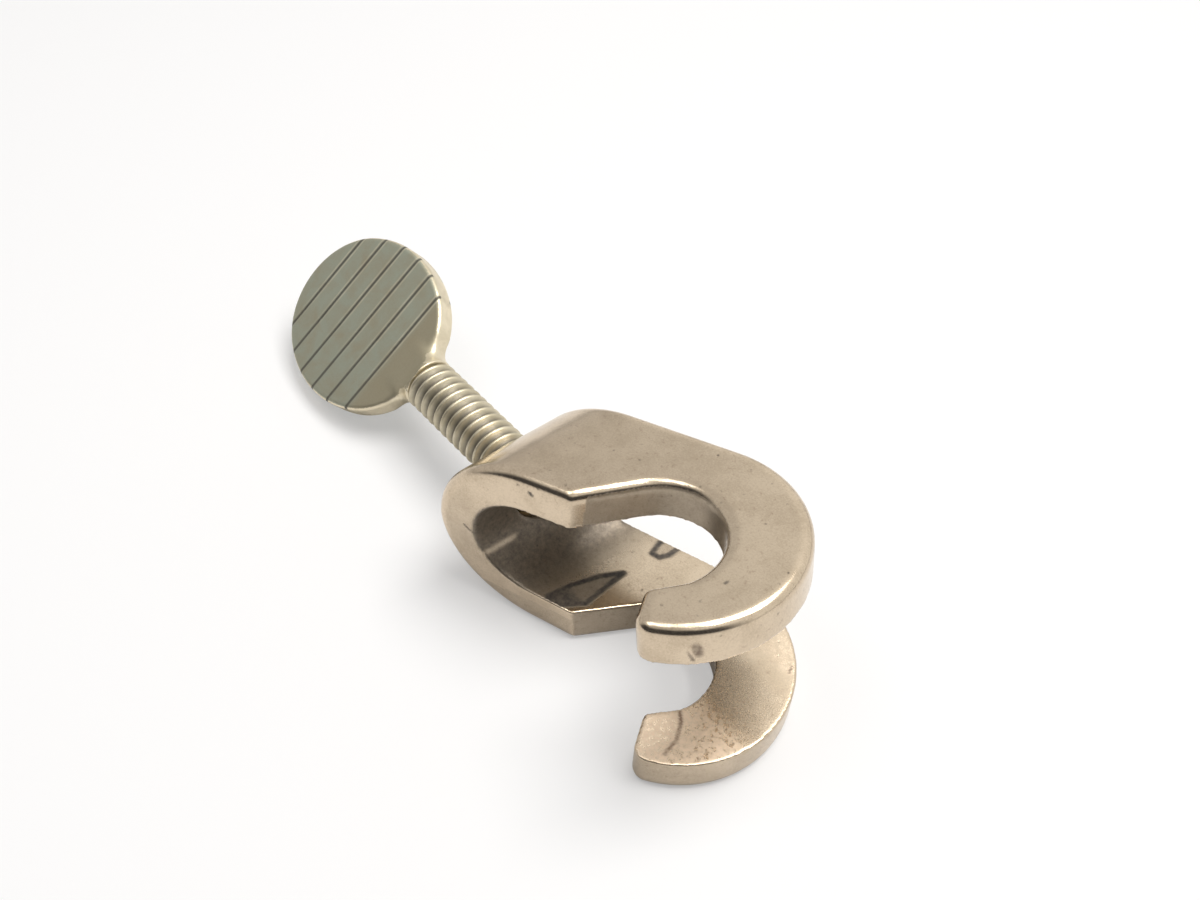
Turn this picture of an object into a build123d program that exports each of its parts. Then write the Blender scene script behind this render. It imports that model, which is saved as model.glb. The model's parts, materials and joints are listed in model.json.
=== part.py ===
from build123d import *
from math import cos, radians, sin, sqrt
import os

# Boss head clamp for laboratory rods, in millimetres: a one-piece hook casting and the thumbscrew
# that runs through its nose. The upright rod stands in the two hooks, and the cross rod lies in the
# channel between the legs, where the screw presses it against the upright rod.
#
# It is drawn with the upright rod's axis along Z, the cross rod along Y, the screw along X and the
# casting's parting plane at Z = 0. The origin is on the upright rod's axis. At the end both pieces
# are turned by the slope of the legs, so that the clamp lies flat on its lower leg.

# The rods and their fits
rod_diameter = 12.7
seat_clearance = 0.25  # radial, upright rod in the hooks
channel_clearance = 0.1  # radial, cross rod in the channel's round end
mouth_clearance = 0.3  # upright rod through the mouth of the hooks
channel_slack = 1.25  # from the pressed cross rod to where it would touch the channel's end

# The casting
wall = 4.85
leg_slope = 4.6  # each leg, away from the parting plane
stem_slant = 21.5  # the stem's front and back, seen from above
stem_width = 13.7
hook_radius = 12.55
hook_shift_x = 1.4  # from the upright rod to the centre of the hooks' outer curve
hook_shift_y = 2.05
mouth_angle = 62.0
tip_angle = -61.5  # where the hooks' outer curve ends
tip_face_angle = 126.0
outer_edge_radius = 1.1
stem_corner_radius = 0.7
tip_outer_radius = 1.6
tip_inner_radius = 1.0
seat_corner_radius = 1.0

# The thumbscrew
screw_offset = 0.9  # the screw's axis, behind the upright rod's
screw_diameter = 6.3
screw_clearance = 0.05  # radial, in the nose
screw_length = 21.3  # from the neck to the point
screw_exposed = 16.6  # from the neck to the nose
point_chamfer = 0.8
paddle_length = 23.8
paddle_width = 20.7
end_inset = 0.55  # by which the radius of the oval's ends is under half its width
paddle_thickness = 2.8
paddle_turn = 37.9  # about the screw's axis, the back side up
paddle_to_neck = 13.0  # from the middle of the paddle to the first turn of the thread
neck_blend = 2.5
ramp_radius = 9.0  # from the paddle's faces up to the round neck
rim_radius = 0.5
groove_count = 6
groove_pitch = 3.05
groove_width = 0.5
groove_depth = 0.3
groove_skew = -3.4  # off square to the screw
groove_shift = -1.1  # middle of the grooves, from the middle of the paddle

# What follows from them
seat_radius = rod_diameter / 2 + seat_clearance
mouth_width = rod_diameter + mouth_clearance
channel_radius = rod_diameter / 2 + channel_clearance
nose_radius = channel_radius + wall
channel_x = seat_clearance - rod_diameter - channel_slack
nose_x = channel_x - nose_radius
leg_length = hook_shift_x + hook_radius - channel_x + wall
body_height = 2 * (nose_radius + leg_length * sin(radians(leg_slope)))
screw_radius = screw_diameter / 2
hole_radius = screw_radius + screw_clearance
neck_x = nose_x - screw_exposed
screw_end = paddle_to_neck + screw_length
tab_width = 2 * sqrt(screw_radius**2 - (paddle_thickness / 2) ** 2)


def along(angle):
    """Unit vector in the plane of a drawing, at an angle in degrees from its first axis."""
    return Vector(cos(radians(angle)), sin(radians(angle)))


def crossing(point_a, way_a, point_b, way_b):
    """Where two straight lines of a drawing cross, each given by a point and a direction."""
    gap = point_b - point_a
    return point_a + way_a * ((gap.X * way_b.Y - gap.Y * way_b.X) / (way_a.X * way_b.Y - way_a.Y * way_b.X))


# Places and directions on the plan, drawn on the middle of a leg
seat = Vector(0, 0)
hook_centre = Vector(hook_shift_x, hook_shift_y)
stem = along(stem_slant)
mouth = along(mouth_angle)
tip_face = along(tip_face_angle)
stem_back = hook_centre + along(stem_slant + 90) * hook_radius
stem_front = stem_back - along(stem_slant + 90) * stem_width
beyond_nose = stem * (leg_length + stem_width)
tip = hook_centre + along(tip_angle) * hook_radius
notch_side = along(mouth_angle + 90) * seat_radius
lip_side = notch_side - along(mouth_angle + 90) * mouth_width
stem_corner = crossing(stem_front, stem, notch_side, mouth)
tip_corner = crossing(tip, tip_face, lip_side, mouth)

# The middle of the upper leg, above the upright rod's axis; the outline is drawn square to it
leg_middle = channel_radius + wall / 2 - channel_x * sin(radians(leg_slope))
leg_way = Vector(cos(radians(leg_slope)), 0, sin(radians(leg_slope)))
upper_leg = Plane(origin=(0, 0, leg_middle / leg_way.X), x_dir=leg_way, z_dir=leg_way.cross(Vector(0, 1, 0)))


def side_profile():
    """The two legs and the round nose, seen along the channel."""
    upper = []
    lower = []
    for radius in (nose_radius, channel_radius):
        start = Vector(channel_x, 0) + along(90 + leg_slope) * radius
        end = start + along(leg_slope) * leg_length
        upper += [start, end]
        lower += [Vector(start.X, -start.Y), Vector(end.X, -end.Y)]
    outline = [
        ThreePointArc(upper[0], (nose_x, 0), lower[0]),
        ThreePointArc(upper[2], (channel_x - channel_radius, 0), lower[2]),
    ]
    for leg in (upper, lower):
        outline += [Line(leg[0], leg[1]), Line(leg[1], leg[3]), Line(leg[3], leg[2])]
    return Plane.XZ * make_face(outline)


def plan_outline():
    """The stem and the hook at the parting plane, seen from above, with the mouth still closed."""
    plan = make_face([
        Line(stem_back - beyond_nose, stem_back),
        ThreePointArc(stem_back, hook_centre + Vector(hook_radius, 0), tip),
        Line(tip, crossing(tip, tip_face, seat, mouth)),
        Line(crossing(tip, tip_face, seat, mouth), crossing(stem_front, stem, seat, mouth)),
        Line(crossing(stem_front, stem, seat, mouth), stem_front - beyond_nose),
        Line(stem_front - beyond_nose, stem_back - beyond_nose),
    ])
    return fillet(plan.vertices().sort_by_distance(tip)[0], tip_outer_radius)


def mouth_cutter():
    """The upright rod's seat and the straight-sided way into it, square to the parting plane."""
    lip_y = seat_radius - mouth_width
    between_sides = Rectangle(4 * seat_radius, mouth_width, align=(Align.CENTER, Align.MAX))
    way_in = Rectangle(2 * hook_radius, mouth_width, align=(Align.MAX, Align.MAX))
    cutter = (Circle(seat_radius) & Pos(0, seat_radius) * between_sides) + Pos(0, seat_radius) * way_in
    lip = cutter.vertices().sort_by_distance((sqrt(seat_radius**2 - lip_y**2), lip_y))[0]
    cutter = Rot(0, 0, mouth_angle) * fillet(lip, seat_corner_radius)
    return extrude(cutter, amount=body_height, both=True)


def uprights(body, place):
    """The edges of the upper and the lower leg that stand nearest to a place on the plan."""
    standing = [edge for edge in body.edges() if abs((edge @ 1 - edge @ 0).Z) > 0.9 * edge.length]
    return sorted(standing, key=lambda edge: (edge.center() - place).cross(Vector(0, 0, 1)).length)[:2]


def is_outside(face):
    """Whether a face belongs to the outer skin of the legs and the nose."""
    middle = face.center()
    outward = face.normal_at(middle)
    distance = Vector(middle.X - channel_x, 0, middle.Z).dot(outward)
    return abs(outward.Y) < 0.01 and distance > channel_radius + wall / 2


def clamp_body():
    """The casting: the side profile inside the drafted plan outline, with rolled outer edges."""
    legs = extrude(side_profile(), amount=body_height, both=True)
    upper_half = split(extrude(upper_leg * plan_outline(), amount=body_height, both=True), Plane.XY)
    body = legs & (upper_half + mirror(upper_half, about=Plane.XY)) - mouth_cutter()
    body = fillet(uprights(body, stem_corner), stem_corner_radius)
    body = fillet(uprights(body, tip_corner), tip_inner_radius)
    skin = [edge for face in body.faces() if is_outside(face) for edge in face.edges()]
    rim = [edge for edge in skin if sum(edge.is_same(other) for other in skin) == 1]
    body = fillet(rim, outer_edge_radius)
    hole = extrude(Plane.YZ.offset(nose_x) * Pos(screw_offset, 0) * Circle(hole_radius), 2 * wall)
    return body - hole


def paddle_plate():
    """The pressed oval, drawn as four arcs, and its tab into the neck, with rounded rims."""
    length = paddle_length / 2
    width = paddle_width / 2
    end_radius = width - end_inset
    side_radius = (length**2 + width**2 - 2 * length * end_radius) / (2 * end_inset)
    end_centre = Vector(length - end_radius, 0)
    side_centre = Vector(0, width - side_radius)
    join = side_centre + (end_centre - side_centre).normalized() * side_radius
    oval = make_face([
        ThreePointArc((join.X, -join.Y), (length, 0), (join.X, join.Y)),
        ThreePointArc((join.X, join.Y), (0, width), (-join.X, join.Y)),
        ThreePointArc((-join.X, join.Y), (-length, 0), (-join.X, -join.Y)),
        ThreePointArc((-join.X, -join.Y), (0, -width), (join.X, -join.Y)),
    ])
    tab = Rectangle(paddle_to_neck + neck_blend, tab_width, align=(Align.MIN, Align.CENTER))
    outline = oval + tab
    shoulders = [vertex for vertex in outline.vertices() if abs(vertex.Y) < tab_width and vertex.X < length]
    plate = extrude(fillet(shoulders, neck_blend), paddle_thickness / 2, both=True)
    faces = plate.faces().sort_by(Axis.Z)
    return fillet(faces[0].edges() + faces[-1].edges(), rim_radius)


def shank():
    """The round shank along X, with its chamfered point."""
    outline = Rectangle(screw_end, screw_diameter, align=(Align.MIN, Align.CENTER))
    point = [vertex for vertex in outline.vertices() if vertex.X > screw_end / 2]
    upper = Rectangle(screw_end, screw_diameter, align=(Align.MIN, Align.MIN))
    return revolve(chamfer(point, point_chamfer) & upper, Axis.X)


def pressing():
    """What the press leaves of the shank: flats on the plate's faces that ramp up to the round neck."""
    top = paddle_thickness / 2
    reach = screw_diameter
    ramp_x = paddle_to_neck - ramp_run(screw_radius - top)
    corners = [
        Vector(0, top),
        Vector(ramp_x, top),
        Vector(ramp_x + ramp_run(reach - top), reach),
        Vector(2 * screw_end, reach),
    ]
    upper = [
        Line(corners[0], corners[1]),
        TangentArc(corners[1], corners[2], tangent=(1, 0)),
        Line(corners[2], corners[3]),
    ]
    lower = [mirror(edge, about=Plane.XZ) for edge in upper]
    ends = [Line(corner, (corner.X, -corner.Y)) for corner in (corners[0], corners[3])]
    side = Plane.XZ * make_face([*upper, *lower, *ends])
    return extrude(side, amount=paddle_width, both=True)


def ramp_run(rise):
    """Length along the screw in which the ramp has risen this far above the plate."""
    return sqrt(rise * (2 * ramp_radius - rise))


def groove_tools():
    """Triangular prisms that cut the grooves across both faces of the plate."""
    top = paddle_thickness / 2
    section = make_face(Polyline(
        (-groove_width / 2, top + groove_depth),
        (0, top - groove_depth),
        (groove_width / 2, top + groove_depth),
        close=True,
    ))
    first = groove_shift - groove_pitch * (groove_count - 1) / 2
    tools = []
    for index in range(groove_count):
        groove = extrude(Plane.XZ * section, amount=paddle_width, both=True)
        groove = Pos(first + index * groove_pitch, 0) * Rot(0, 0, groove_skew) * groove
        tools += [groove, mirror(groove, about=Plane.XY)]
    return tools


def thumb_screw():
    """The one-piece screw, turned about its axis as it stands in the nose."""
    screw = paddle_plate() + (shank() & pressing()) - groove_tools()
    return Pos(neck_x - paddle_to_neck, screw_offset) * Rot(paddle_turn, 0, 0) * screw


at_rest = Rot(0, -leg_slope, 0)
pieces = {"clamp_body": clamp_body(), "thumb_screw": thumb_screw()}
os.makedirs("parts", exist_ok=True)
for name, piece in pieces.items():
    export_step(at_rest * piece, f"parts/{name}.step")
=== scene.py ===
import json
from math import atan2, cos, hypot, pi, radians, sin

import bmesh
import bpy
from bpy.props import FloatProperty, FloatVectorProperty, IntProperty, PointerProperty
from bpy.types import NodeSocket, Operator, Panel, PropertyGroup
from mathutils import Matrix, Vector


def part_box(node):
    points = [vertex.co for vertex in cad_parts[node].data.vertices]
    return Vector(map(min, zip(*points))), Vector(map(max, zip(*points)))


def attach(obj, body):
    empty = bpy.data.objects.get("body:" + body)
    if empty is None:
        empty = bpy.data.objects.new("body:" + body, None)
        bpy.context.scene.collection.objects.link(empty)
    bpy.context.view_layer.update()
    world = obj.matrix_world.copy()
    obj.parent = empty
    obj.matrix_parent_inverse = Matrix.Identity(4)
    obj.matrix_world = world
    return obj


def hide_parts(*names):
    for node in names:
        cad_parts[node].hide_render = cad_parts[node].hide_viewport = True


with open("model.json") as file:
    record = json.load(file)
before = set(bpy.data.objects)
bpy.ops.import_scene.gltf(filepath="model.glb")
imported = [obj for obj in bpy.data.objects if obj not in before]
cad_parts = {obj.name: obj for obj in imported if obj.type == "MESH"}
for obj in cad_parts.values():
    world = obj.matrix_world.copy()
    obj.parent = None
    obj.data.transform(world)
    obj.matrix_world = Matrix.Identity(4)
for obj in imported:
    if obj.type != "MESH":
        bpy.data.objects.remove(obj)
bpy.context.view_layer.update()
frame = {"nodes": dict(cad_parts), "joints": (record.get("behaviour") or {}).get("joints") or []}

bl_info = {
    "name": "Boss head clamp",
    "version": (1, 0, 0),
    "blender": (4, 5, 0),
    "location": "3D View > Sidebar > Boss head",
    "description": "Double-hook rod clamp with its thumbscrew, on a pale table",
    "category": "Object",
}

MM = 0.001
weld_distance = 0.0005 * MM

# The clamp is drawn with the screw along X, and lies turned about Y by the slope of the screw's axis.
screw_axis = Vector(frame["joints"][0]["axis"]).normalized()
leg_slope = atan2(screw_axis.z, screw_axis.x)
at_rest = Matrix.Rotation(-leg_slope, 4, "Y")
screw_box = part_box("thumb_screw")
screw_side = (screw_box[0].y + screw_box[1].y) / 2
screw_point = max(vertex.co.dot(screw_axis) for vertex in frame["nodes"]["thumb_screw"].data.vertices)


class ClampSizes(PropertyGroup):
    """Sizes of what is added to the solid model, and the colours of both metals and of the table."""

    casting_grain: FloatProperty(
        name="Casting mesh", description="Edge length of the casting's mesh",
        default=0.21 * MM, unit="LENGTH", precision=5,
    )
    head_grain: FloatProperty(
        name="Head mesh", description="Edge length of the thumbscrew head's mesh",
        default=0.127 * MM, unit="LENGTH", precision=5,
    )
    softening: IntProperty(
        name="Softening", description="Rounds of smoothing over the cast edges",
        default=3, min=0, max=10,
    )
    thread_pitch: FloatProperty(
        name="Thread pitch", description="Advance of one turn of the 1/4 in screw",
        default=1.27 * MM, unit="LENGTH", precision=5,
    )
    thread_crest: FloatProperty(
        name="Thread crest", description="Radius over the thread",
        default=3.15 * MM, unit="LENGTH", precision=5,
    )
    thread_root: FloatProperty(
        name="Thread root", description="Radius at the bottom of the thread",
        default=2.55 * MM, unit="LENGTH", precision=5,
    )
    thread_length: FloatProperty(
        name="Thread length", description="From the neck to the point",
        default=21.3 * MM, unit="LENGTH", precision=5,
    )
    point_chamfer: FloatProperty(
        name="Point chamfer", description="Chamfer of the screw's point",
        default=0.8 * MM, unit="LENGTH", precision=5,
    )
    paddle_turn: FloatProperty(
        name="Head turn", description="The flat head's turn about the screw's axis",
        default=radians(37.9), subtype="ANGLE",
    )
    nickel_light: FloatVectorProperty(
        name="Nickel", description="The plating where it is clean",
        default=(0.67, 0.555, 0.415), subtype="COLOR", min=0, max=1,
    )
    nickel_dark: FloatVectorProperty(
        name="Dull nickel", description="The plating where it is dull",
        default=(0.54, 0.44, 0.32), subtype="COLOR", min=0, max=1,
    )
    # The tarnish colour is also the painted shade under the upper leg, in the channel's end, on the seats, on
    # the lower walls and the lower hook's middle, and in the screw's grooves and thread root
    tarnish: FloatVectorProperty(
        name="Tarnish", description="Dark stains on the plating",
        default=(0.04, 0.033, 0.028), subtype="COLOR", min=0, max=1,
    )
    # The bloom colour is also the painted light on the far side of the lower hook
    bloom: FloatVectorProperty(
        name="Bloom", description="Cream stains on the inner faces",
        default=(0.85, 0.67, 0.50), subtype="COLOR", min=0, max=1,
    )
    rust: FloatVectorProperty(
        name="Rust", description="Brown stains and thin brown lines",
        default=(0.22, 0.13, 0.08), subtype="COLOR", min=0, max=1,
    )
    steel_light: FloatVectorProperty(
        name="Screw steel", description="The screw's rim and thread",
        default=(0.80, 0.72, 0.55), subtype="COLOR", min=0, max=1,
    )
    steel_dark: FloatVectorProperty(
        name="Dull screw steel", description="The screw where it is dull",
        default=(0.60, 0.53, 0.38), subtype="COLOR", min=0, max=1,
    )
    face_grey: FloatVectorProperty(
        name="Pressed face", description="The grey-green grooved faces of the head",
        default=(0.39, 0.405, 0.325), subtype="COLOR", min=0, max=1,
    )
    # The face brown is also the colour of the painted darker reflection on the ramp near the neck
    face_brown: FloatVectorProperty(
        name="Plain face", description="The brownish part of the faces near the neck",
        default=(0.38, 0.335, 0.235), subtype="COLOR", min=0, max=1,
    )
    floor_colour: FloatVectorProperty(
        name="Table", description="The pale table top",
        default=(0.90, 0.90, 0.91), subtype="COLOR", min=0, max=1,
    )


def sizes():
    """The values that the operators use."""
    return bpy.context.scene.boss_head


def smooth_step(low, high, value):
    """0 below low, 1 above high, and an even rise between them."""
    part = min(max((value - low) / (high - low), 0), 1)
    return part * part * (3 - 2 * part)


def fade(low, high, value):
    """1 below low, 0 above high, and an even fall between them."""
    return 1 - smooth_step(low, high, value)


def merged_copy(node):
    """A closed bmesh of a CAD node."""
    mesh = bmesh.new()
    mesh.from_mesh(frame["nodes"][node].data)
    bmesh.ops.remove_doubles(mesh, verts=mesh.verts, dist=weld_distance)
    return mesh


def cut_off(mesh, place, way):
    """Takes away what lies beyond a plane through a place, on the side that it faces."""
    everything = [*mesh.verts, *mesh.edges, *mesh.faces]
    bmesh.ops.bisect_plane(mesh, geom=everything, plane_co=place, plane_no=way, clear_outer=True)


def fill_holes(mesh):
    """Closes each open rim with one face."""
    bmesh.ops.holes_fill(mesh, edges=[edge for edge in mesh.edges if edge.is_boundary])


def smooth_once(mesh, vertices):
    """Moves vertices half of the way to the middle of their neighbours."""
    bmesh.ops.smooth_vert(
        mesh, verts=vertices, factor=0.5, use_axis_x=True, use_axis_y=True, use_axis_z=True,
    )


def add_object(mesh, name):
    """A smooth-shaded object from a bmesh, which is freed."""
    data = bpy.data.meshes.new(name)
    mesh.to_mesh(data)
    mesh.free()
    data.shade_smooth()
    made = bpy.data.objects.new(name, data)
    bpy.context.scene.collection.objects.link(made)
    return made


def even_mesh(made, edge_length, rounds):
    """Gives an object an even mesh with softened edges, as a casting or pressing has."""
    remesh = made.modifiers.new("even", "REMESH")
    remesh.mode = "VOXEL"
    remesh.voxel_size = edge_length
    remesh.use_smooth_shade = True
    data = bpy.data.meshes.new_from_object(made.evaluated_get(bpy.context.evaluated_depsgraph_get()))
    made.modifiers.clear()
    mesh = bmesh.new()
    mesh.from_mesh(data)
    for _ in range(rounds):
        smooth_once(mesh, mesh.verts)
    mesh.to_mesh(made.data)
    mesh.free()
    bpy.data.meshes.remove(data)
    made.data.shade_smooth()


def paint(made, marks_at):
    """Stores three marks on every point, each from 0 to 1, as the parts of one colour."""
    layer = made.data.color_attributes.new("marks", "FLOAT_COLOR", "POINT")
    values = []
    for vertex in made.data.vertices:
        values += [*marks_at(vertex.co / MM, vertex.normal), 1.0]
    layer.data.foreach_set("color", values)


def add(tree, kind, inputs=None, **settings):
    """A node with its settings, its values and its links."""
    made = tree.nodes.new(kind)
    for name, value in settings.items():
        setattr(made, name, value)
    for key, value in (inputs or {}).items():
        if isinstance(value, NodeSocket):
            tree.links.new(value, made.inputs[key])
        else:
            made.inputs[key].default_value = value
    return made


def empty_tree(owner):
    """The cleared node tree of a new material or world."""
    owner.use_nodes = True
    owner.node_tree.nodes.clear()
    return owner.node_tree


def blend_colours(tree, factor, first, second):
    """The mix of two colours; a plain colour is given with three parts."""
    parts = [value if isinstance(value, NodeSocket) else (*value, 1) for value in (first, second)]
    return add(tree, "ShaderNodeMix", {0: factor, 6: parts[0], 7: parts[1]}, data_type="RGBA").outputs[2]


def calculate(tree, operation, first, second, clamp=False):
    """The result of one sum on two values, which clamp holds between 0 and 1."""
    return add(tree, "ShaderNodeMath", {0: first, 1: second}, operation=operation, use_clamp=clamp).outputs[0]


def multiply(tree, first, second):
    """The product of two values."""
    return calculate(tree, "MULTIPLY", first, second)


def spread(tree, value, low, high, to_low=0.0, to_high=1.0):
    """A value stretched from one range to another, and held within it."""
    made = add(tree, "ShaderNodeMapRange", {0: value, 1: low, 2: high, 3: to_low, 4: to_high})
    return made.outputs[0]


def noise(tree, place, scale, detail, rough, distortion=0.0):
    """A cloudy pattern with this many cells to a millimetre."""
    values = {"Vector": place, "Scale": scale, "Detail": detail, "Roughness": rough, "Distortion": distortion}
    return add(tree, "ShaderNodeTexNoise", values).outputs["Fac"]


def start_material(name):
    """A new metal: its material, its node tree, its coordinates in millimetres and its shader."""
    material = bpy.data.materials.new(name)
    tree = empty_tree(material)
    shader = add(tree, "ShaderNodeBsdfPrincipled")
    tree.links.new(shader.outputs[0], add(tree, "ShaderNodeOutputMaterial").inputs[0])
    place = add(tree, "ShaderNodeTexCoord").outputs["Object"]
    scaled = add(tree, "ShaderNodeMapping", {"Vector": place, "Scale": (1 / MM,) * 3})
    return material, tree, scaled.outputs[0], shader


def painted_marks(tree):
    """The three marks that are painted on a piece."""
    colour = add(tree, "ShaderNodeAttribute", attribute_name="marks").outputs[0]
    return add(tree, "ShaderNodeSeparateColor", {0: colour}).outputs


def link_metal(tree, shader, colour, rough, dirt, bump):
    """Gives a shader its colour, its roughness, its loss of metal where it is stained or painted with shade
    or light, and its bump.
    """
    tree.links.new(colour, shader.inputs["Base Color"])
    tree.links.new(rough, shader.inputs["Roughness"])
    tree.links.new(calculate(tree, "SUBTRACT", 1.0, dirt), shader.inputs["Metallic"])
    tree.links.new(bump.outputs[0], shader.inputs["Normal"])


def nickel_casting():
    """Worn satin nickel on an iron casting: mottled and pitted, with stains, painted shade and painted light
    where they are painted.
    """
    values = sizes()
    material, tree, place, shader = start_material("worn_nickel_painted_shade_and_light")
    # tarnish holds the stains and the painted shade, bloom the cream stain and the painted light
    tarnish, bloom, rust = painted_marks(tree)
    clouds = noise(tree, place, scale=0.22, detail=4.0, rough=0.6, distortion=0.4)
    grain = noise(tree, place, scale=5.0, detail=3.0, rough=0.7)
    speckle = noise(tree, place, scale=1.7, detail=4.0, rough=0.75)
    cells = add(tree, "ShaderNodeTexVoronoi", {"Vector": place, "Scale": 0.6, "Randomness": 1.0}).outputs[0]
    pits = multiply(tree, spread(tree, cells, 0.13, 0.03), spread(tree, speckle, 0.45, 0.6))
    mottle = spread(tree, grain, 0.3, 0.7, to_low=-0.55, to_high=0.55)
    dull = calculate(tree, "ADD", spread(tree, clouds, 0.35, 0.7), mottle, clamp=True)
    bloom_and_painted_light = multiply(tree, bloom, spread(tree, speckle, 0.36, 0.6, to_low=0.15))
    rusted = multiply(tree, rust, spread(tree, speckle, 0.4, 0.58, to_low=0.35))
    tarnish_and_painted_shade = multiply(tree, tarnish, spread(tree, speckle, 0.3, 0.6, to_low=0.8))
    colour = blend_colours(tree, dull, values.nickel_light, values.nickel_dark)
    for share, laid_on in (
        (spread(tree, speckle, 0.58, 0.75, to_high=0.5), values.rust),
        (multiply(tree, pits, 0.7), values.tarnish),
        (bloom_and_painted_light, values.bloom),
        (rusted, values.rust),
        (tarnish_and_painted_shade, values.tarnish),
    ):
        colour = blend_colours(tree, share, colour, laid_on)
    # dirt adds the stains to the painted shade and the painted light
    dirt = calculate(tree, "ADD", tarnish_and_painted_shade, calculate(tree, "ADD", bloom_and_painted_light, rusted), clamp=True)
    satin = spread(tree, grain, 0.3, 0.7, to_low=0.15, to_high=0.25)
    rough = calculate(tree, "ADD", satin, multiply(tree, dirt, 0.3))
    height = calculate(tree, "SUBTRACT", multiply(tree, grain, 0.25), pits)
    bump = add(tree, "ShaderNodeBump", {"Height": height, "Strength": 0.35, "Distance": 0.03 * MM})
    link_metal(tree, shader, colour, rough, multiply(tree, dirt, 0.75), bump)
    return material


def screw_steel():
    """The screw's plating: bright and yellowish, greyed on the pressed faces, with painted shade in the
    grooves and at the thread's root, and browner where a darker reflection is painted near the neck.
    """
    values = sizes()
    material, tree, place, shader = start_material("worn_screw_steel_painted_shade")
    # dirt holds the painted shade in the grooves and the thread's root, plain the painted darker reflection
    # near the neck and the thread's even brown
    dirt, pressed, plain = painted_marks(tree)
    clouds = noise(tree, place, scale=0.35, detail=4.0, rough=0.6, distortion=0.5)
    grain = noise(tree, place, scale=4.0, detail=4.0, rough=0.7)
    colour = blend_colours(tree, spread(tree, clouds, 0.35, 0.68), values.steel_light, values.steel_dark)
    face = blend_colours(tree, plain, values.face_grey, values.face_brown)
    face = blend_colours(tree, spread(tree, clouds, 0.4, 0.7, to_high=0.6), face, values.face_brown)
    colour = blend_colours(tree, pressed, colour, face)
    # Darkened with the tarnish colour where painted shade lies
    colour = blend_colours(tree, dirt, colour, values.tarnish)
    satin = spread(tree, grain, 0.3, 0.7, to_low=0.33, to_high=0.45)
    rough = calculate(tree, "ADD", satin, multiply(tree, pressed, 0.14))
    bump = add(tree, "ShaderNodeBump", {"Height": grain, "Strength": 0.3, "Distance": 0.02 * MM})
    link_metal(tree, shader, colour, rough, multiply(tree, dirt, 0.6), bump)
    return material


def steel():
    """The screw's material, made once for the head and the thread."""
    return bpy.data.materials.get("worn_screw_steel_painted_shade") or screw_steel()


# The casting's marks, in millimetres. A wall's normal rises less than the first of these, and a level face's
# more than the second.
wall_rise = 0.6
face_rise = 0.9

# Painted shade in the dark end of the channel: the axis of its round end, where the painted shade starts to
# thin out and where it ends along X, how much the surface has to face that axis, and the ridge along it,
# which keeps less of the shade as a painted highlight
channel_x = -13.7
channel_depth = (-16.5, -9.5)
channel_painted_shade = 0.8
turned_inwards = (0.2, 0.8)
highlit_ridge = (Vector((-18.9, -7.4, -4.85)), Vector((-18.9, -3.6, -4.8)))
ridge_width = (0.05, 0.6)
ridge_shade_share = 0.5

# Places evenly darkened with painted shade: the upper leg's underside above a height, the lower leg's walls
# below one, and both hooks' seats within a radius from the upright rod's axis
upper_leg_height, underside_painted_shade = 5, 0.6
lower_wall_height, lower_wall_painted_shade = -8, 0.14
seat_radius, seat_painted_shade = 9.5, 0.45
turned_to_rod = (0.2, 0.6)

# Small marks on the casting: both ends, half the width, and the tarnish and the rust there
small_marks = [
    ((11.0, -5.3, 12.2), (10.8, -4.7, 10.9), 0.45, 0.25, 0.6),
    ((10.5, -5.9, 11.4), (10.9, -5.4, 10.2), 0.18, 0.5, 0.4),
    ((-14.3, -5.0, 8.6), (-14.0, -5.1, 8.4), 0.20, 0.9, 0.0),
    ((-15.6, -5.6, 9.0), (-15.5, -5.6, 9.0), 0.12, 0.7, 0.0),
    ((7.9, 0.6, 13.9), (7.9, 0.8, 13.9), 0.20, 0.9, 0.0),
    ((8.0, -2.5, 13.9), (8.1, -2.6, 13.9), 0.12, 0.7, 0.0),
    ((9.1, -3.9, 14.0), (9.2, -3.9, 14.0), 0.12, 0.6, 0.0),
    ((4.9, 4.6, 11.9), (5.4, 3.9, 11.5), 0.7, 0.8, 0.0),
    ((5.2, 4.3, 10.6), (5.6, 3.6, 9.6), 0.8, 0.6, 0.0),
    ((-21.2, -8.4, -1.4), (-19.9, -7.9, -2.2), 0.10, 0.8, 0.3),
    ((10.2, 11.0, -7.5), (10.6, 10.2, -7.5), 0.12, 0.3, 0.8),
]
mark_reach = 4
mark_core, mark_rim = 0.6, 1.5  # shares of half the width

# Stains on the inner face of the lower leg, as outlines seen square to it, and the brown line of a ring
inner_face_height = -5
long_stain = [
    (-10.1, 4.3), (-9.8, 1.5), (-9.4, -1.4), (-11.4, -4.6), (-12.6, -4.2), (-12.2, -1.3), (-11.3, 1.9),
]
short_stain = [(-10.3, 8.5), (-10.9, 10.1), (-10.5, 11.8), (-9.2, 11.9), (-9.0, 9.9), (-9.4, 8.8)]
stain_fillings = ((long_stain, 0.6), (short_stain, 0.25))
stain_line = (0.18, 0.55)
stain_front, stain_front_tarnish = (-2.4, 0.6), 0.95
ring_line = [(5.0, -1.6), (6.2, -1.6), (7.6, -2.5), (8.9, -4.2), (9.4, -6.2)]
ring_line_width = (0.1, 0.26)

# The lower hook starts at this X. Along Y its cream bloom stain thins out from the mouth, painted light comes
# back a little at the far side, and a light painted shade lies between the two.
hook_start = 2
bloom_front, bloom_front_share = (-1.5, 2.6), 0.9
painted_light_back, painted_light_back_share = (8.5, 11.0), 0.2
hook_dark_from, hook_dark_to, hook_painted_shade = (0.0, 2.8), (6.5, 9.0), 0.3


def run_distance(point, start, end):
    """Distance from a point to a straight run between two others."""
    run = end - start
    part = min(max((point - start).dot(run) / max(run.length_squared, 1e-9), 0), 1)
    return (point - start - run * part).length


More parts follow.
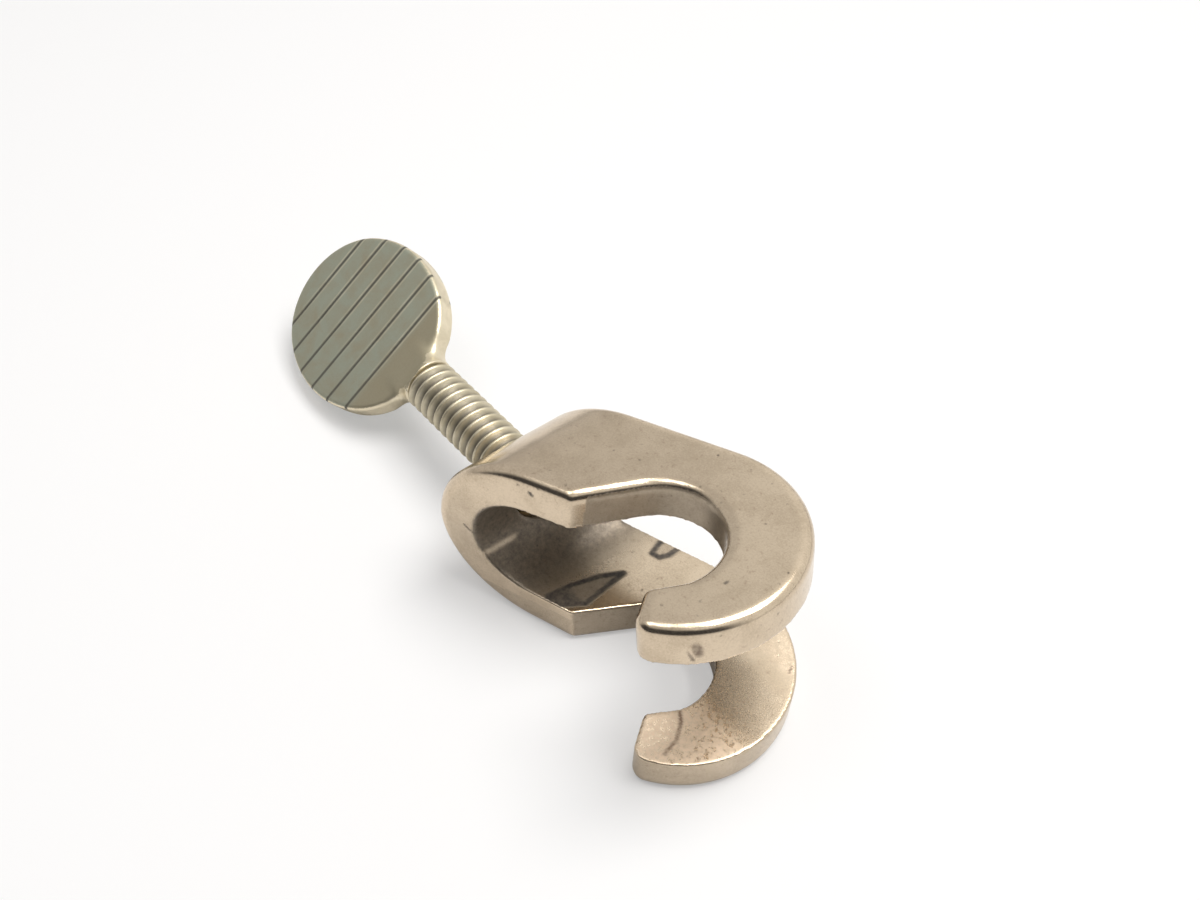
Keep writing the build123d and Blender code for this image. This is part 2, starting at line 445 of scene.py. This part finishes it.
def outline_distance(point, outline, closed=True):
    """Distance from a point of the plan to an outline, or to an open line."""
    ends = outline[1:] + outline[:1] if closed else outline[1:]
    return min(run_distance(point, Vector(start), Vector(end)) for start, end in zip(outline, ends))


def is_within(point, outline):
    """Whether a point of the plan is inside a closed outline."""
    inside = False
    for start, end in zip(outline, outline[1:] + outline[:1]):
        if (start[1] > point.y) != (end[1] > point.y):
            if point.x < start[0] + (point.y - start[1]) * (end[0] - start[0]) / (end[1] - start[1]):
                inside = not inside
    return inside


def painted_shade_on_sides(point, drawn, normal):
    """Painted shade in the channel's end, under the upper leg, on the lower walls and on the seats."""
    to_axis = Vector((channel_x - drawn.x, 0, -drawn.z)).normalized()
    facing = (at_rest.inverted().to_3x3() @ normal).dot(to_axis)
    # Painted shade deep in the channel's end, on faces turned into it
    tarnish = channel_painted_shade * fade(*channel_depth, drawn.x) * smooth_step(*turned_inwards, facing)
    if tarnish > 0:
        # Less painted shade along the ridge, so that it reads as a painted highlight
        beside_ridge = smooth_step(*ridge_width, run_distance(point, *highlit_ridge))
        tarnish *= ridge_shade_share + (1 - ridge_shade_share) * beside_ridge
    # Painted shade on the upper leg's underside
    if drawn.z > upper_leg_height and normal.z < -face_rise:
        tarnish = max(tarnish, underside_painted_shade)
    is_wall = abs(normal.z) < wall_rise
    # Painted shade on the lower walls, near the table
    if drawn.z < lower_wall_height and is_wall:
        tarnish = max(tarnish, lower_wall_painted_shade)
    radius = hypot(point.x, point.y)
    # Painted shade on the seat walls that face the rod's axis
    if is_wall and radius < seat_radius:
        inwards = -(point.x * normal.x + point.y * normal.y) / max(radius, 1)
        tarnish = max(tarnish, seat_painted_shade * smooth_step(*turned_to_rod, inwards))
    return tarnish


def small_marks_at(point):
    """Tarnish and rust that the small marks give to a point of the casting."""
    tarnish, rust = 0.0, 0.0
    for start, end, width, dark, brown in small_marks:
        if abs(point.x - start[0]) + abs(point.y - start[1]) < mark_reach:
            distance = run_distance(point, Vector(start), Vector(end))
            near = fade(width * mark_core, width * mark_rim, distance)
            tarnish, rust = max(tarnish, dark * near), max(rust, brown * near)
    return tarnish, rust


def inner_face_marks(plan):
    """Tarnish, bloom and rust at a point of the plan, on the lower leg's inner face; on the hook the tarnish
    also holds painted shade in the middle, and the bloom painted light at the far side.
    """
    tarnish, bloom = 0.0, 0.0
    for outline, filling in stain_fillings:
        if is_within(plan, outline):
            tarnish = max(tarnish, filling, stain_front_tarnish * fade(*stain_front, plan.y))
        tarnish = max(tarnish, fade(*stain_line, outline_distance(plan, outline)))
    rust = fade(*ring_line_width, outline_distance(plan, ring_line, closed=False))
    if plan.x > hook_start:
        bloom = bloom_front_share * fade(*bloom_front, plan.y)
        # Painted light on the far side of the hook
        bloom += painted_light_back_share * smooth_step(*painted_light_back, plan.y)
        # Painted shade in the middle of the hook
        middle = smooth_step(*hook_dark_from, plan.y) * fade(*hook_dark_to, plan.y)
        tarnish = max(tarnish, hook_painted_shade * middle)
    return tarnish, bloom, rust


def casting_marks(point, normal):
    """Tarnish, bloom and rust at a point of the casting, where the tarnish also holds painted shade and the
    bloom painted light.
    """
    drawn = at_rest.inverted() @ point
    tarnish, rust = small_marks_at(point)
    # The painted shade on the sides joins the tarnish of the small marks
    tarnish = max(tarnish, painted_shade_on_sides(point, drawn, normal))
    if drawn.z > inner_face_height or normal.z < face_rise:
        return tarnish, 0.0, rust
    inner_tarnish, bloom, inner_rust = inner_face_marks(Vector((drawn.x, drawn.y)))
    return max(tarnish, inner_tarnish), bloom, max(rust, inner_rust)


class BOSSHEAD_OT_casting(Operator):
    """Dress the one-piece casting in worn nickel, with its edges softened as cast edges are"""

    bl_idname = "boss_head.casting"
    bl_label = "Casting"

    def execute(self, context):
        values = sizes()
        made = add_object(merged_copy("clamp_body"), "nickel_clamp_body")
        even_mesh(made, values.casting_grain, values.softening)
        paint(made, casting_marks)
        made.data.materials.append(nickel_casting())
        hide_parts("clamp_body")
        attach(made, "body")
        return {"FINISHED"}


# The flat head as the solid has it, in millimetres: its middle on the screw's axis, and its six grooves
paddle_middle = -54.6
paddle_thickness = 2.8
groove_skew = radians(-3.4)
groove_shift = -1.1
groove_pitch = 3.05
groove_count = 6
first_groove = groove_shift - groove_pitch * (groove_count - 1) / 2

# The stretch of the neck that is smoothed, along the screw and to each side, and by how much each round's
# stretch is shorter and narrower than the last one's
neck_start, neck_end = -47.6, -42.2
neck_side = 5.2
neck_rounds = 90
neck_step = 0.02

# The head's marks: how deep below the faces the pressed grey starts and is full, how much a face's normal
# rises, how deep and how far along the screw the painted shade in the grooves goes, its width, and the
# painted highlight beside each groove, which fades out along the groove
pressed_from, pressed_full = 0.47, 0.04
pressed_rise = 0.8
groove_shade_depth = 0.5
groove_shade_end = 9
groove_shade = 0.8
groove_width = (0.10, 0.24)
groove_glint_start, groove_glint_end = (0.2, 0.3), (0.34, 0.48)
groove_glint_along = (-8, 2)
groove_glint_share = 0.55
# A painted darker reflection on the ramp by the neck, browner than the pressed face
ramp_shade_start, ramp_shade_share = (-0.6, 1.2), 0.85  # from the last groove on, towards the neck


def on_screw(point):
    """A point as the screw is drawn, with its axis along X."""
    return at_rest.inverted() @ (point - Vector((0, screw_side / MM, 0)))


def on_head(point):
    """A point in the flat head's own frame: x along the screw, z square to its faces."""
    return Matrix.Rotation(-sizes().paddle_turn, 4, "X") @ on_screw(point)


def soften_neck(made):
    """Smooths the pressed metal where the round shank runs into the flat head."""
    mesh = bmesh.new()
    mesh.from_mesh(made.data)
    places = [(vertex, on_head(vertex.co / MM)) for vertex in mesh.verts]
    for rounds in range(neck_rounds):
        start, side = neck_start + neck_step * rounds, neck_side - neck_step * rounds
        smooth_once(mesh, [
            vertex for vertex, place in places if start < place.x < neck_end and abs(place.y) < side
        ])
    mesh.to_mesh(made.data)
    mesh.free()


def head_marks(point, normal):
    """Painted shade in the grooves, the pressed face, and the painted darker reflection near the neck, at a
    point of the head.
    """
    drawn = on_head(point)
    height = abs(drawn.z)
    face_height = paddle_thickness / 2
    along = drawn.x - paddle_middle
    across = along * cos(groove_skew) + drawn.y * sin(groove_skew) - first_groove
    nearest = min(abs(across - index * groove_pitch) for index in range(groove_count))
    # A painted highlight beside each groove, fading out along the groove
    groove_glint = smooth_step(*groove_glint_start, nearest) * fade(*groove_glint_end, nearest) * smooth_step(*groove_glint_along, drawn.y)
    pressed = 0.0
    if abs(on_head(point + normal).z - drawn.z) >= pressed_rise:
        pressed = smooth_step(face_height - pressed_from, face_height - pressed_full, height)
        pressed *= 1 - groove_glint_share * groove_glint
    in_groove = 0.0
    # Painted shade in the grooves
    if height > face_height - groove_shade_depth and along < groove_shade_end:
        in_groove = fade(*groove_width, nearest)
    # Painted darker reflection of the ramp near the neck
    plain = ramp_shade_share * smooth_step(*ramp_shade_start, across - groove_pitch * (groove_count - 1))
    return groove_shade * in_groove, max(pressed, in_groove), plain


class BOSSHEAD_OT_head(Operator):
    """Make the screw's flat head with its grooved faces, down to the neck"""

    bl_idname = "boss_head.head"
    bl_label = "Thumbscrew head"

    def execute(self, context):
        values = sizes()
        mesh = merged_copy("thumb_screw")
        cut_off(mesh, screw_axis * (screw_point - values.thread_length), screw_axis)
        fill_holes(mesh)
        bmesh.ops.triangulate(mesh, faces=[face for face in mesh.faces if len(face.verts) > 4])
        made = add_object(mesh, "thumb_screw_head")
        even_mesh(made, values.head_grain, rounds=1)
        soften_neck(made)
        paint(made, head_marks)
        made.data.materials.append(steel())
        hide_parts("thumb_screw")
        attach(made, "screw")
        return {"FINISHED"}


# The thread's mesh: its steps in a turn, the turns swept in all beyond those that stay, and how many of
# them lie before the start
thread_steps = 48
spare_turns = 4
turns_before = 1.5

# The thread's rounding at its root and crest, and how far below the crest its flank ends
thread_rounding = 0.02 * MM
thread_shoulder = 0.13 * MM

# Dirt on the crest, how much painted shade is added at the root, how much of the thread's height it fills,
# and how grey and brown the thread is
crest_dirt, root_shade = 0.06, 0.74
root_shade_height = (0.0, 0.4)
thread_grey, thread_brown = 0.35, 0.6


def thread_section(crest, root):
    """One groove's half section and its mirror: parts of the pitch, each with its radius."""
    half = [
        (0, root), (0.10, root + thread_rounding), (0.33, crest - thread_shoulder),
        (0.41, crest - thread_rounding), (0.5, crest),
    ]
    return half + [(1 - part, radius) for part, radius in reversed(half[:-1])]


def thread_marks(point, normal):
    """Painted shade at the bottom of the thread over a little even dirt, and the thread's grey and brown
    shares.
    """
    drawn = on_screw(point)
    values = sizes()
    height = (hypot(drawn.y, drawn.z) * MM - values.thread_root) / (values.thread_crest - values.thread_root)
    # Painted shade at the thread's root
    return crest_dirt + root_shade * fade(*root_shade_height, height), thread_grey, thread_brown


class BOSSHEAD_OT_thread(Operator):
    """Cut the screw's right-hand thread from the neck to the chamfered point"""

    bl_idname = "boss_head.thread"
    bl_label = "Thread"

    def execute(self, context):
        values = sizes()
        pitch, crest, root = values.thread_pitch, values.thread_crest, values.thread_root
        start = screw_point - values.thread_length - pitch / 2
        mesh = self.sweep(start, pitch, crest, root)
        cut_off(mesh, (start, 0, 0), (-1, 0, 0))
        cut_off(mesh, (screw_point, 0, 0), (1, 0, 0))
        fill_holes(mesh)
        for vertex in mesh.verts:
            radius = hypot(vertex.co.y, vertex.co.z)
            room = min(crest, crest - values.point_chamfer + screw_point - vertex.co.x)
            if vertex.co.x < start + pitch / 2:
                room = root
            if radius > room:
                vertex.co.y *= room / radius
                vertex.co.z *= room / radius
        bmesh.ops.recalc_face_normals(mesh, faces=mesh.faces)
        bmesh.ops.transform(mesh, matrix=Matrix.Translation((0, screw_side, 0)) @ at_rest, verts=mesh.verts)
        made = add_object(mesh, "thumb_screw_thread")
        paint(made, thread_marks)
        made.data.materials.append(steel())
        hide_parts("thumb_screw")
        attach(made, "screw")
        return {"FINISHED"}

    def sweep(self, start, pitch, crest, root):
        """The open helical surface, along X and longer than the thread at both ends."""
        mesh = bmesh.new()
        first = start - turns_before * pitch
        points = [
            mesh.verts.new((first + part * pitch, 0, radius)) for part, radius in thread_section(crest, root)
        ]
        edges = [mesh.edges.new(pair) for pair in zip(points, points[1:])]
        turns = int((screw_point - start) / pitch) + spare_turns
        bmesh.ops.spin(
            mesh, geom=[*points, *edges], cent=(0, 0, 0), axis=(-1, 0, 0), dvec=(pitch / thread_steps, 0, 0),
            angle=2 * pi * turns, steps=thread_steps * turns, use_merge=False,
        )
        bmesh.ops.remove_doubles(mesh, verts=mesh.verts, dist=weld_distance)
        return mesh


# The stage, in metres. Each lamp is a square: its name, place, side, power in watts and colour.
table_half = 3.0
table_glow = 0.36  # share of plain white in what the camera sees of the table
lamps = (
    ("lamp_front", (-0.09, -0.11, 0.39), 0.17, 0.25, (1.0, 0.99, 0.98)),
    ("lamp_above", (0.04, 0.13, 0.48), 0.28, 2.35, (1.0, 0.98, 0.95)),
)
lamp_target = Vector((-0.02, 0, 0))

# The room that the metal mirrors: walls from the camera's left to its right, a dark zone above the front,
# and the strength of its light on the table and the clamp
wall_left, wall_right = (0.68, 0.67, 0.66), (1.0, 0.99, 0.97)
wall_turn = (-0.06, 0.12)
dark_colour = (0.06, 0.06, 0.065)
dark_slant = 0.5
dark_rise = (0.3, 0.65)
dark_top = (0.8, 0.62)
room_light = 0.27

# The photograph's view: where the camera stands, its directions to the right and up, and in millimetres
# its lens and the width of its sensor
camera_place = Vector((59.19775, -61.04042, 125.61705)) * MM
camera_right = Vector((0.61844398, 0.78444593, 0.04660064))
camera_up = Vector((-0.62031697, 0.45092227, 0.64177564))
lens_length = 44.97
sensor_width = 36.0
nearest_seen = 0.005


class BOSSHEAD_OT_stage(Operator):
    """Set the pale table, the soft lamps, the white surroundings and the camera"""

    bl_idname = "boss_head.stage"
    bl_label = "Stage"

    def execute(self, context):
        self.add_table()
        for lamp in lamps:
            self.add_lamp(context, *lamp)
        self.set_surroundings(context)
        self.add_camera(context)
        return {"FINISHED"}

    def add_table(self):
        mesh = bmesh.new()
        bmesh.ops.create_grid(mesh, x_segments=1, y_segments=1, size=table_half)
        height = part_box("clamp_body")[0].z
        bmesh.ops.translate(mesh, vec=(0, 0, height), verts=mesh.verts)
        table = add_object(mesh, "table")
        material = bpy.data.materials.new("table")
        tree = empty_tree(material)
        rays = add(tree, "ShaderNodeLightPath").outputs["Is Camera Ray"]
        paper = add(tree, "ShaderNodeBsdfDiffuse", {"Color": (*sizes().floor_colour, 1)})
        white = add(tree, "ShaderNodeEmission", {"Color": (1, 1, 1, 1), "Strength": 1.0})
        seen = multiply(tree, rays, table_glow)
        shown = add(tree, "ShaderNodeMixShader", {0: seen, 1: paper.outputs[0], 2: white.outputs[0]})
        tree.links.new(shown.outputs[0], add(tree, "ShaderNodeOutputMaterial").inputs[0])
        table.data.materials.append(material)

    def add_lamp(self, context, name, place, side, power, colour):
        lamp = bpy.data.lights.new(name, "AREA")
        lamp.shape = "SQUARE"
        lamp.size = side
        lamp.energy = power
        lamp.color = colour
        made = bpy.data.objects.new(name, lamp)
        made.location = place
        made.rotation_euler = (lamp_target - made.location).to_track_quat("-Z", "Y").to_euler()
        context.scene.collection.objects.link(made)

    def set_surroundings(self, context):
        world = bpy.data.worlds.new("surroundings")
        tree = empty_tree(world)
        way = add(tree, "ShaderNodeTexCoord").outputs["Generated"]
        parts = add(tree, "ShaderNodeSeparateXYZ", {0: way}).outputs
        front = calculate(tree, "SUBTRACT", multiply(tree, parts[0], dark_slant), parts[1])
        shade = multiply(tree, spread(tree, front, *dark_rise), spread(tree, parts[2], *dark_top))
        right = add(tree, "ShaderNodeVectorMath", {0: way, 1: camera_right}, operation="DOT_PRODUCT")
        walls = blend_colours(tree, spread(tree, right.outputs["Value"], *wall_turn), wall_left, wall_right)
        light = blend_colours(tree, shade, walls, dark_colour)
        rays = add(tree, "ShaderNodeLightPath").outputs
        strength = spread(tree, rays["Is Diffuse Ray"], 0, 1, to_low=1.0, to_high=room_light)
        room = add(tree, "ShaderNodeBackground", {"Color": light, "Strength": strength}).outputs[0]
        white = add(tree, "ShaderNodeBackground", {"Color": (1, 1, 1, 1), "Strength": 1.0}).outputs[0]
        shown = add(tree, "ShaderNodeMixShader", {0: rays["Is Camera Ray"], 1: room, 2: white})
        tree.links.new(shown.outputs[0], add(tree, "ShaderNodeOutputWorld").inputs[0])
        context.scene.world = world
        context.scene.view_settings.view_transform = "Standard"

    def add_camera(self, context):
        data = bpy.data.cameras.new("camera")
        data.lens = lens_length
        data.sensor_width = sensor_width
        data.clip_start = nearest_seen
        made = bpy.data.objects.new("camera", data)
        back = camera_right.cross(camera_up)
        turn = Matrix((camera_right, camera_up, back)).transposed().to_4x4()
        made.matrix_world = Matrix.Translation(camera_place) @ turn
        context.scene.collection.objects.link(made)
        context.scene.camera = made


class BOSSHEAD_PT_panel(Panel):
    """Lists the pieces of the clamp and their sizes and colours"""

    bl_label = "Boss head clamp"
    bl_idname = "BOSSHEAD_PT_panel"
    bl_space_type = "VIEW_3D"
    bl_region_type = "UI"
    bl_category = "Boss head"

    def draw(self, context):
        for operator in operators:
            self.layout.operator(operator.bl_idname)
        for name in ClampSizes.__annotations__:
            self.layout.prop(context.scene.boss_head, name)


operators = (BOSSHEAD_OT_casting, BOSSHEAD_OT_head, BOSSHEAD_OT_thread, BOSSHEAD_OT_stage)


def register():
    for kind in (ClampSizes, *operators, BOSSHEAD_PT_panel):
        bpy.utils.register_class(kind)
    bpy.types.Scene.boss_head = PointerProperty(type=ClampSizes)


def unregister():
    del bpy.types.Scene.boss_head
    for kind in (BOSSHEAD_PT_panel, *reversed(operators), ClampSizes):
        bpy.utils.unregister_class(kind)


def main():
    register()
    bpy.ops.boss_head.casting()
    bpy.ops.boss_head.head()
    bpy.ops.boss_head.thread()
    bpy.ops.boss_head.stage()


if __name__ == "__main__":
    main()
